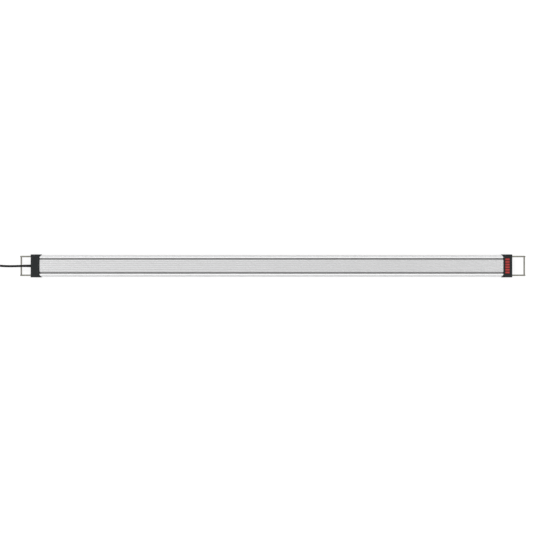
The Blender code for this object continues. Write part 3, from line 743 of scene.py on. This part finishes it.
def channel_outlines():
    """The channel's section with its edges eased, and the ducts that run through it."""
    half = [
        (SLOT_OUTER_Y, WEB_Z, 0.3), (SLOT_OUTER_Y, RAIL_BLOCK_Z, 0.3),
        (SKIRT_INNER_Y, RAIL_BLOCK_Z, 0.3), (SKIRT_INNER_Y, LIP_Z, 0.3), (LIP_Y, LIP_Z, 0.25),
        (LIP_Y, CHANNEL_LOW.z, 0.25), (RAIL_Y, CHANNEL_LOW.z, 0.5),
        (RAIL_Y, CHANNEL_HIGH.z, RAIL_EDGE_R), (RAIL_FLAT_Y, CHANNEL_HIGH.z, 0.8),
        (SLOT_OUTER_Y, SLOT_LIP_Z, 0.25), (SLOT_OUTER_Y, SLOT_FLOOR_Z, 0.3),
        (SLOT_INNER_Y, SLOT_FLOOR_Z, 0.3), (SLOT_INNER_Y, DECK_EDGE_Z, 0.25),
    ]
    for rib in reversed(range(RIB_COUNT // 2)):
        middle = (rib + 0.5) * RIB_PITCH
        half += [
            (middle + RIB_BASE / 2, DECK_Z, 0.3),
            (middle + RIB_CREST / 2, DECK_Z + RIB_HEIGHT, 0.3),
            (middle - RIB_CREST / 2, DECK_Z + RIB_HEIGHT, 0.3),
            (middle - RIB_BASE / 2, DECK_Z, 0.3),
        ]
    duct = (2 * WIRE_DUCT_Y, WIRE_DUCT_Z[1] - WIRE_DUCT_Z[0])
    holes = [rounded_rectangle((0, sum(WIRE_DUCT_Z) / 2), duct, 0.8)]
    for side in (-1, 1):
        holes.append(rounded_rectangle((side * LEG_Y, LEG_Z), LEG_DUCT, 0.6))
        holes.append(circle((side * PORT_Y, PORT_Z), PORT_R, 20))
    return [filleted(both_halves(half)), *holes]


def in_slot(face):
    """Whether a face is a slot's floor or wall."""
    y, z = abs(face.center.y) / MM, face.center.z / MM
    side_slack, height_slack = 0.01, 0.1
    return (SLOT_INNER_Y - side_slack < y < SLOT_OUTER_Y + side_slack
            and SLOT_FLOOR_Z - height_slack < z < DECK_EDGE_Z - height_slack)


def build_channel(aluminium, slot_shade):
    """The extruded channel, its slots' floors and walls in a dark aluminium: painted shade in the slots."""
    mesh = section_mesh("light_bar_channel", channel_outlines(), (CHANNEL_LOW.x, CHANNEL_HIGH.x))
    finish_piece("light_bar_channel", mesh, [aluminium, slot_shade], "anodised_aluminium", "housing_channel")
    # The slot faces take the dark aluminium, painted shade where the slots are deep.
    paint_faces(mesh, in_slot)


def build_cover(clear):
    low, high = node_box("lens_cover")
    mesh = box_mesh("clear_cover", low, high, edge=0.35, segments=3)
    finish_piece("clear_cover", mesh, [clear], "clear_cover", "lens_cover")


def led_package(at, packages, phosphor, pads):
    """A light-emitting diode, face down: a moulded cup of yellow phosphor on two soldered tabs."""
    x, y, top = at
    bottom = top - LED_HEIGHT
    rings = []
    for reach, z, corner in ((LED_HALF, top, 0.25), (LED_HALF, bottom, 0.25), (LED_LIP, bottom, 0.7),
                             (LED_LIP - LED_SLOPE, bottom + LED_CUP, 0.6)):
        outline = rounded_rectangle((x, y), (2 * reach, 2 * reach), corner, 3)
        rings.append([(u, v, z) for u, v in outline])
    packages.append(mesh_from(lofted(rings), "package"))
    profile = [(radius, bottom + rise) for radius, rise in PHOSPHOR_FILL]
    phosphor.append(turned_mesh("phosphor", profile, (x, y, 0), (0, 0, 1), 20))
    for side in (-1, 1):
        pads.append(slab("tab", (x + side * LED_TAB_X, y), LED_TAB, (top - LED_TAB_Z, top + BITE), 0.08))


def build_board(index, paints):
    """One board of the light engine, with its diodes, copper runs, resistors and end pads."""
    low, high = node_box(f"led_board_{index}")
    underside = high.z - BOARD_THICK
    copper = (underside - COPPER_Z, underside + BITE)
    board = box_mesh("board", (low.x, low.y, underside), high, 0.12, 1)
    packages, phosphor, pads, runs, chips = [], [], [], [], []
    pitch = (high.x - low.x) / LED_COLUMNS
    for column in range(LED_COLUMNS):
        x = low.x + (column + 0.5) * pitch
        middle = x - pitch / 2
        for y in (-LED_ROW_Y, LED_ROW_Y):
            led_package((x, y, underside), packages, phosphor, pads)
            if column:
                half = (pitch / 2 - RUN_INSET, RUN_HALF_WIDTH)
                runs.append(slab("run", (middle, y), half, copper))
        if column % 2:
            chips.append(slab("chip", (middle, 0), CHIP, (underside - CHIP_Z, underside), 0.06))
            for side in (-1, 1):
                pads.append(slab("chip_end", (middle + side * CHIP_END_X, 0), CHIP_END,
                                 (underside - CHIP_Z, underside + BITE), 0.08))
    board_middle = (low.x + high.x) / 2
    for y in (-BUS_Y, BUS_Y):
        half = ((high.x - low.x) / 2 - BUS_INSET, BUS_HALF_WIDTH)
        runs.append(slab("rail", (board_middle, y), half, copper))
    for x in (low.x + END_PAD_INSET, high.x - END_PAD_INSET):
        for y in (-END_PAD_Y, END_PAD_Y):
            pads.append(slab("end_pad", (x, y), END_PAD, (underside - END_PAD_Z, underside + BITE), 0.06))
    meshes = [(0, board)]
    for slot, group in enumerate((packages, phosphor, pads, runs, chips), 1):
        meshes += [(slot, mesh) for mesh in group]
    finish_piece(f"light_board_{index}", joined(f"light_board_{index}", meshes), paints,
                 "led_board", f"led_board_{index}")


def build_connector(name, node, paint, slot, ways):
    """A small moulded connector, face down, with a row of wire entries along its face."""
    low, high = node_box(node)
    mesh = box_mesh(name, low, high, 0.3, 2)
    width = (high.y - low.y) / ways
    middle_x = (low.x + high.x) / 2
    cutters = []
    for way in range(ways):
        y = low.y + (way + 0.5) * width
        half = ENTRY_SHARE * width
        cutters.append(box_mesh("entry", (low.x - 1, y - half, low.z + ENTRY_BELOW),
                                (low.x + ENTRY_DEPTH, y + half, high.z - ENTRY_ABOVE)))
        cutters.append(slab("window", (middle_x, y), (WINDOW_HALF, WINDOW_SHARE * width),
                            (low.z - 1, low.z + WINDOW_DEPTH)))
    finish_piece(name, carved(mesh, cutters), [paint], slot, node, smooth_angle=30)


def build_wires(red, black):
    """The two thin wires from the lead's end to the board's socket."""
    for name, side, paint, slot in (("positive", 1, red, "red_lead"),
                                    ("negative", -1, black, "black_lead")):
        low, high = node_box(f"lead_{name}")
        route = [(low.x + x, side * y, CORD_Z + z) for x, y, z in INNER_WIRE_NEAR]
        route += [(high.x + x, side * y, CORD_Z + z) for x, y, z in INNER_WIRE_FAR]
        mesh = tube_mesh(f"inner_wire_{name}", smooth_route(route), INNER_WIRE_R, 16)
        finish_piece(f"inner_wire_{name}", mesh, [paint], slot, f"lead_{name}")


# ---------------------------------------------------------------- end caps and brackets


def prism_mesh(name, plan, z, edge, segments=3):
    """A plan of (X, Y) points raised between two heights, its edges rounded."""
    shape = lofted([[(x, y, height) for x, y in plan] for height in z])
    bmesh.ops.bevel(shape, geom=shape.edges, offset=edge * MM, segments=segments,
                    profile=0.5, affect="EDGES")
    return mesh_from(shape, name)


def flared_recess(x, y, floor, top, flare):
    """A cutter for a shallow recess whose rim opens out, so that the rim catches the light."""
    centre = ((x[0] + x[1]) / 2, (y[0] + y[1]) / 2)
    size = (x[1] - x[0], y[1] - y[0])
    rings = []
    for grow, z in ((0, floor), (0, top - flare), (2 * flare, top), (2 * flare, top + 1)):
        outline = rounded_rectangle(centre, (size[0] + grow, size[1] + grow), 0.6 + grow / 2, 4)
        rings.append([(u, v, z) for u, v in outline])
    return mesh_from(lofted(rings), "recess")


def across(side, near, far):
    """An X span at one end of the bar, from distances to the bar's middle."""
    return tuple(sorted((BAR_X + side * near, BAR_X + side * far)))


def highlight_slope(face):
    """Whether a face is one of the sloping ones that round an upper edge; these get a painted highlight."""
    return HIGHLIGHT_SLOPES[0] < face.normal.z < HIGHLIGHT_SLOPES[1]


# edge is a lighter black: a painted highlight on the sloping rim around the left panel.
def build_end_cap(name, side, panel_node, plastic, edge):
    half_width = node_box(f"end_cap_{name}")[1].y
    inner = CAP_FACE - CAP_DEPTH
    plan = [(CAP_FACE, half_width), (inner - CAP_WING, half_width), (inner, CAP_WING_Y),
            (inner, -CAP_WING_Y), (inner - CAP_WING, -half_width), (CAP_FACE, -half_width)]
    plan = [(BAR_X + side * x, y) for x, y in plan]
    mesh = prism_mesh("cap", plan, (CAP_BOTTOM, CAP_TOP), CAP_EDGE)
    cavity_x = across(side, inner - 2 * CAP_WING, CAP_FACE - END_WALL)
    cutters = [box_mesh("cavity", (cavity_x[0], -RAIL_Y - GAP, CHANNEL_LOW.z - GAP),
                        (cavity_x[1], RAIL_Y + GAP, CHANNEL_HIGH.z + GAP))]
    wall = across(side, CAP_FACE - END_WALL - 1, CAP_FACE + 1)
    for row in (-1, 1):
        cutters.append(section_mesh("window", [rounded_rectangle(
            (row * LEG_Y, LEG_Z), SLEEVE_WINDOW, SLEEVE_CORNER)], wall))
        port = (BAR_X + side * CAP_FACE, row * PORT_Y, PORT_Z)
        cutters.append(turned_mesh("screw_seat", SCREW_SEAT, port, (side, 0, 0), 36))
    panel_low, panel_high = node_box(panel_node)
    cutters.append(flared_recess((panel_low.x - GAP, panel_high.x + GAP),
                                 (panel_low.y - GAP, panel_high.y + GAP),
                                 CAP_TOP - PANEL_RECESS, CAP_TOP, PANEL_FLARE))
    if side < 0:
        cutters.append(turned_mesh("cable_hole", CABLE_HOLE, (BAR_LEFT, 0, CORD_Z), (-1, 0, 0), 36))
    mesh = carved(mesh, cutters)
    finish_piece(f"moulded_cap_{name}", mesh, [plastic, edge], "black_plastic", f"end_cap_{name}")
    # The left cap's sloping rim around the panel takes the lighter black: a painted highlight.
    if side < 0:
        paint_faces(mesh, lambda face: (
            panel_low.x - PANEL_RIM < face.center.x / MM < panel_high.x + PANEL_RIM
            and abs(face.center.y) / MM < panel_high.y + PANEL_RIM and highlight_slope(face)))


def build_cap_screw(name, side, row, steel):
    """A pan-head screw with a cross recess."""
    profile = [(radius, SCREW_TOP - below) for radius, below in PAN_HEAD]
    for turn in range(THREAD_TURNS):
        along = SCREW_TOP - THREAD_START - turn * THREAD_PITCH
        profile += [(THREAD_CREST_R, along), (THREAD_ROOT_R, along - 0.35),
                    (THREAD_ROOT_R, along - 0.65)]
    profile += [(0.4, SCREW_TIP), (0, SCREW_TIP)]
    at = (BAR_X + side * CAP_FACE, row * PORT_Y, PORT_Z)
    mesh = turned_mesh("screw", profile, at, (side, 0, 0), 32)
    mouth = across(side, CAP_FACE + SCREW_TOP - CROSS_DEPTH, CAP_FACE + SCREW_TOP + 1)
    cutters = [box_mesh("cross", (mouth[0], at[1] - a, at[2] - b), (mouth[1], at[1] + a, at[2] + b),
                        0.1, 1)
               for a, b in ((CROSS_ARM, CROSS_HALF_WIDTH), (CROSS_HALF_WIDTH, CROSS_ARM))]
    label = {-1: "front", 1: "rear"}[row]
    finish_piece(f"cross_screw_{name}_{label}", carved(mesh, cutters), [steel], "steel_screw",
                 f"cap_screw_{name}_{label}", smooth_angle=30)


def build_wire_bracket(name, side, steel):
    """A bent round wire whose two legs slide in the cap, each with a flattened end as its stop."""
    low, high = node_box(f"wire_bracket_{name}")
    bar_x = (high.x if side > 0 else low.x) - side * WIRE_R
    leg_end = (low.x if side > 0 else high.x) + side * PADDLE_LENGTH
    bar_z = low.z + WIRE_R
    drop = LEG_Z - bar_z
    bend = WIRE_BEND_R
    half = [Vector((leg_end, LEG_Y, LEG_Z))]
    half += [Vector((bar_x + side * x, LEG_Y, LEG_Z + z))
             for x, z in arc((-bend, -bend), bend, 90, 0, 12)]
    half += [Vector((bar_x, y, LEG_Z + z))
             for y, z in arc((LEG_Y - bend, bend - drop), bend, 0, -90, 12)]
    points = half + [Vector((p.x, -p.y, p.z)) for p in reversed(half)]
    meshes = [(0, tube_mesh("wire", points, WIRE_R, 28))]
    for row in (-1, 1):
        start, stop = sorted((leg_end - side * PADDLE_LENGTH, leg_end + side * 1.0))
        paddle = box_mesh("paddle", (start, row * LEG_Y - PADDLE_HALF_Y, LEG_Z - PADDLE_HALF_Z),
                          (stop, row * LEG_Y + PADDLE_HALF_Y, LEG_Z + PADDLE_HALF_Z), 0.7, 3)
        meshes.append((0, paddle))
    finish_piece(f"bent_wire_{name}", joined(f"bent_wire_{name}", meshes), [steel], "stainless_wire",
                 f"wire_bracket_{name}", body=f"{name}_bracket", smooth_angle=40)


def build_left_panel(plastic, edge):
    """A blank panel whose upper edges are painted a little lighter, as a painted highlight."""
    low, high = node_box("cap_panel_left")
    mesh = prism_mesh("blank_panel", rounded_rectangle(
        ((low.x + high.x) / 2, 0), (high.x - low.x, high.y - low.y), 0.4, 4), (low.z, high.z), 0.25, 2)
    finish_piece("blank_panel_left", mesh, [plastic, edge], "black_plastic", "cap_panel_left")
    paint_faces(mesh, highlight_slope)


def build_right_insert(red, shade):
    """A red inlay with a row of raised bars across it, the grooves between them painted a darker red as
    painted shade.
    """
    low, high = node_box("cap_insert_right")
    valley, crest = high.z - INSERT_GROOVE, high.z
    pitch = (high.y - low.y) / INSERT_BARS
    foot, shoulder = INSERT_RISE
    section = [(low.y, low.z, 0.1), (low.y, valley, 0.1)]
    for bar in range(INSERT_BARS):
        start = low.y + bar * pitch
        section += [(start + foot * pitch, valley, 0.15), (start + shoulder * pitch, crest, 0.22),
                    (start + (1 - shoulder) * pitch, crest, 0.22), (start + (1 - foot) * pitch, valley, 0.15)]
    section += [(high.y, valley, 0.1), (high.y, low.z, 0.1)]
    mesh = section_mesh("red_inlay_right", [filleted(section)], (low.x, high.x))
    finish_piece("red_inlay_right", mesh, [red, shade], "red_insert", "cap_insert_right",
                 smooth_angle=30)
    below_crest = crest - 0.2
    # Faces below the crests take the darker red: painted shade in the grooves.
    paint_faces(mesh, lambda face: face.center.z / MM < below_crest)


def build_strain_relief(plastic):
    """The moulded sleeve around the lead where it leaves the cap, with bending grooves."""
    low, high = node_box("strain_relief")
    face = BAR_LEFT
    tip = face - low.x
    profile = [(CORD_R - 0.1, tip), (CORD_R + 0.2, tip), (CORD_R + RELIEF_WALL, tip - 0.35)]
    step = (tip - RELIEF_LAST - RELIEF_FIRST) / RELIEF_GROOVES
    for groove in reversed(range(RELIEF_GROOVES)):
        along = RELIEF_FIRST + (groove + 0.5) * step
        radius = CORD_R + RELIEF_WALL + RELIEF_TAPER * (tip - along) / tip
        profile += [(radius, along + 0.85), (radius - RELIEF_GROOVE, along + 0.6),
                    (radius - RELIEF_GROOVE, along - 0.1), (radius, along - 0.35)]
    profile += [(RELIEF_NECK_R, 1.0), (RELIEF_NECK_R, RELIEF_INNER), (0, RELIEF_INNER)]
    sleeve = turned_mesh("sleeve", profile, (face, 0, CORD_Z), (-1, 0, 0), 36)
    flange = box_mesh("flange", (high.x - 1.5, -RELIEF_FLANGE_Y, CORD_Z - RELIEF_FLANGE_Z),
                      (high.x, RELIEF_FLANGE_Y, CORD_Z + RELIEF_FLANGE_Z), 0.25, 2)
    finish_piece("moulded_relief", joined("moulded_relief", [(0, sleeve), (0, flange)]), [plastic],
                 "black_plastic", "strain_relief")


# ---------------------------------------------------------------- pieces on the lead


def build_plug(plastic, metal, core):
    body_low, body_high = node_box("plug_body")
    y, z = (body_low.y + body_high.y) / 2, (body_low.z + body_high.z) / 2
    radius = (body_high.z - body_low.z) / 2
    length = body_high.x - body_low.x
    profile = [(CORD_R - 0.1, 0), (CORD_R + 0.25, 0), (CORD_R + 0.5, -0.6)]
    for ring in range(PLUG_RINGS):
        along = -1.6 - ring * PLUG_RING_STEP
        outer = 2.8 + ring * 0.17
        profile += [(outer, along + 0.5), (outer, along - 0.4), (outer - 0.35, along - 0.6),
                    (outer - 0.35, along - 1.1)]
    profile += [(3.5, -PLUG_TAIL + 0.6), (radius - 0.9, -PLUG_TAIL), (radius - 0.25, -PLUG_TAIL - 0.3),
                (radius, -PLUG_TAIL - 0.9), (radius, 1.2 - length), (radius - 0.35, 0.5 - length),
                (radius - 1.0, -length), (0, -length)]
    mesh = turned_mesh("plug", profile, (body_low.x, y, z), (-1, 0, 0), 48)
    cutters = []
    for across_y, up in circle((0, 0), radius, GRIP_GROOVES):
        cutters.append(turned_mesh("grip", GRIP_GROOVE, (body_high.x - GRIP_FROM, y + across_y, z + up),
                                   (1, 0, 0), 10))
    finish_piece("moulded_plug", carved(mesh, cutters), [plastic], "plug_moulding", "plug_body")

    low, high = node_box("plug_barrel")
    length = high.x - low.x
    outer, inner = BARREL_R, BARREL_BORE_R
    profile = [(inner, 0), (outer, 0), (outer, -length + 0.35), (outer - 0.15, -length + 0.08),
               (outer - 0.3, -length), (inner + 0.12, -length), (inner, -length + 0.15), (inner, 0)]
    mesh = turned_mesh("barrel", profile, (low.x, y, z), (-1, 0, 0), 48)
    finish_piece("plated_barrel", mesh, [metal], "nickel_plate", "plug_barrel")
    outer, inner = CORE_R, CORE_BORE_R
    profile = [(inner, 0), (outer, 0), (outer, -length + 0.7), (outer - 0.15, -length + 0.5),
               (inner + 0.15, -length + 0.5), (inner, -length + 0.65), (inner, 0)]
    mesh = turned_mesh("core", profile, (low.x, y, z), (-1, 0, 0), 40)
    finish_piece("barrel_core", mesh, [core], "natural_nylon", "plug_insulator")


def build_tie(fabric):
    """A hook-and-loop strap around the waist of the hank, its free end lapped over the top."""
    low, high = node_box("cord_tie")
    middle_y = (low.y + high.y) / 2
    size = (high.y - low.y, high.z - low.z)
    centre = (middle_y, (high.z + low.z) / 2)
    outer = rounded_rectangle(centre, size, TIE_CORNER, 8)
    inner_size = (size[0] - 2 * TIE_THICK, size[1] - 2 * TIE_THICK)
    inner = rounded_rectangle(centre, inner_size, TIE_INNER_CORNER, 8)
    band = section_mesh("band", [outer, inner], (low.x, high.x))
    top = high.z
    flap = filleted([(middle_y - 5.5, top, 0.2), (middle_y - 5.5, top + 0.55, 0.3),
                     (middle_y - 4.5, top + TIE_THICK, 0.6), (high.y - 3.4, top + TIE_THICK, 1.5),
                     (high.y - 2.4, top - 0.25, 0.2), (high.y - 3.6, top, 0.3)], 4)
    lap = section_mesh("lap", [flap], (low.x + LAP_INSET, high.x - LAP_INSET))
    mesh = joined("hook_and_loop_tie", [(0, band), (0, lap)])
    finish_piece("hook_and_loop_tie", mesh, [fabric], "tie_strap", "cord_tie", smooth_angle=50)


def paint_nodes(paint, slot, *nodes):
    """Gives CAD nodes that are shown as they are a finer material and smooth curves."""
    for name in nodes:
        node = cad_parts[name]
        node.data.materials.clear()
        node.data.materials.append(paint)
        node.data.shade_smooth()
        node.data.set_sharp_from_angle(angle=math.radians(35))


build_camera()
build_floor()
build_lights()
RUBBER = cable_rubber()
LEAD = build_lead(RUBBER)
BLACK = moulded_black()
# A lighter black for sloping upper edges: a painted highlight.
EDGE_HIGHLIGHT = moulded_black("painted_edge_highlight", (0.055, 0.058, 0.060))
SCREW_STEEL = plated("screw_steel", (0.55, 0.54, 0.52), 0.3)
NYLON = soft_plastic("natural_nylon_fine", (0.76, 0.74, 0.67), 0.42)
SILICONE = soft_plastic("silicone_fine", (0.30, 0.31, 0.32), 0.62)
STEEL = drawn_steel()
TIN = plated("tinned_pad", (0.72, 0.72, 0.70), 0.3)

# The second aluminium, much darker, is painted shade for the slots.
build_channel(brushed_aluminium(), brushed_aluminium("slot_painted_shade", (0.22, 0.22, 0.22)))
build_cover(acrylic())
BOARD_PAINTS = [
    soft_plastic("board_mask", (0.86, 0.87, 0.84), 0.38, 2500, 0.03, 0.01),
    soft_plastic("package_white", (0.90, 0.89, 0.85), 0.35, 2500, 0.03, 0.01),
    soft_plastic("phosphor_yellow", (0.85, 0.62, 0.08), 0.45, 4000, 0.08, 0.03),
    TIN,
    soft_plastic("masked_copper", (0.80, 0.79, 0.73), 0.36, 2500, 0.04, 0.01),
    soft_plastic("resistor_black", (0.03, 0.03, 0.032), 0.4, 3000, 0.1, 0.01),
]
for number in (1, 2, 3):
    build_board(number, BOARD_PAINTS)
for number in (1, 2):
    build_connector(f"linking_connector_{number}", f"board_link_{number}", NYLON, "natural_nylon", 2)
build_connector("supply_socket", "power_socket", NYLON, "natural_nylon", 2)
build_wires(soft_plastic("red_wire_fine", (0.50, 0.02, 0.02), 0.42),
            soft_plastic("black_wire_fine", (0.02, 0.02, 0.021), 0.45))
for end_name, end_side, panel in (("left", -1, "cap_panel_left"), ("right", 1, "cap_insert_right")):
    build_end_cap(end_name, end_side, panel, BLACK, EDGE_HIGHLIGHT)
    for screw_row in (-1, 1):
        build_cap_screw(end_name, end_side, screw_row, SCREW_STEEL)
    build_wire_bracket(end_name, end_side, STEEL)
build_left_panel(BLACK, EDGE_HIGHLIGHT)
# The darker red is painted shade for the inlay's grooves.
build_right_insert(red_plastic(), red_plastic("red_insert_groove_painted_shade", (0.10, 0.012, 0.011)))
build_strain_relief(moulded_black("relief_black_fine", (0.006, 0.006, 0.0065), 1500))
build_plug(moulded_black("plug_moulding_fine", (0.016, 0.016, 0.017), 1500),
           plated("nickel_fine", (0.74, 0.72, 0.67), 0.22), NYLON)
build_tie(strap_fabric())

paint_nodes(SILICONE, "silicone_seal", "cover_seal_front", "cover_seal_rear",
            "end_gasket_left", "end_gasket_right")
paint_nodes(soft_plastic("thermal_pad_fine", (0.42, 0.48, 0.57), 0.85, 900, 0.08, 0.08), "thermal_pad",
            "thermal_pad_1", "thermal_pad_2", "thermal_pad_3")
paint_nodes(BLACK, "black_plastic", "current_regulator",
            *(f"bracket_sleeve_{end}_{row}" for end in ("left", "right") for row in ("front", "rear")))
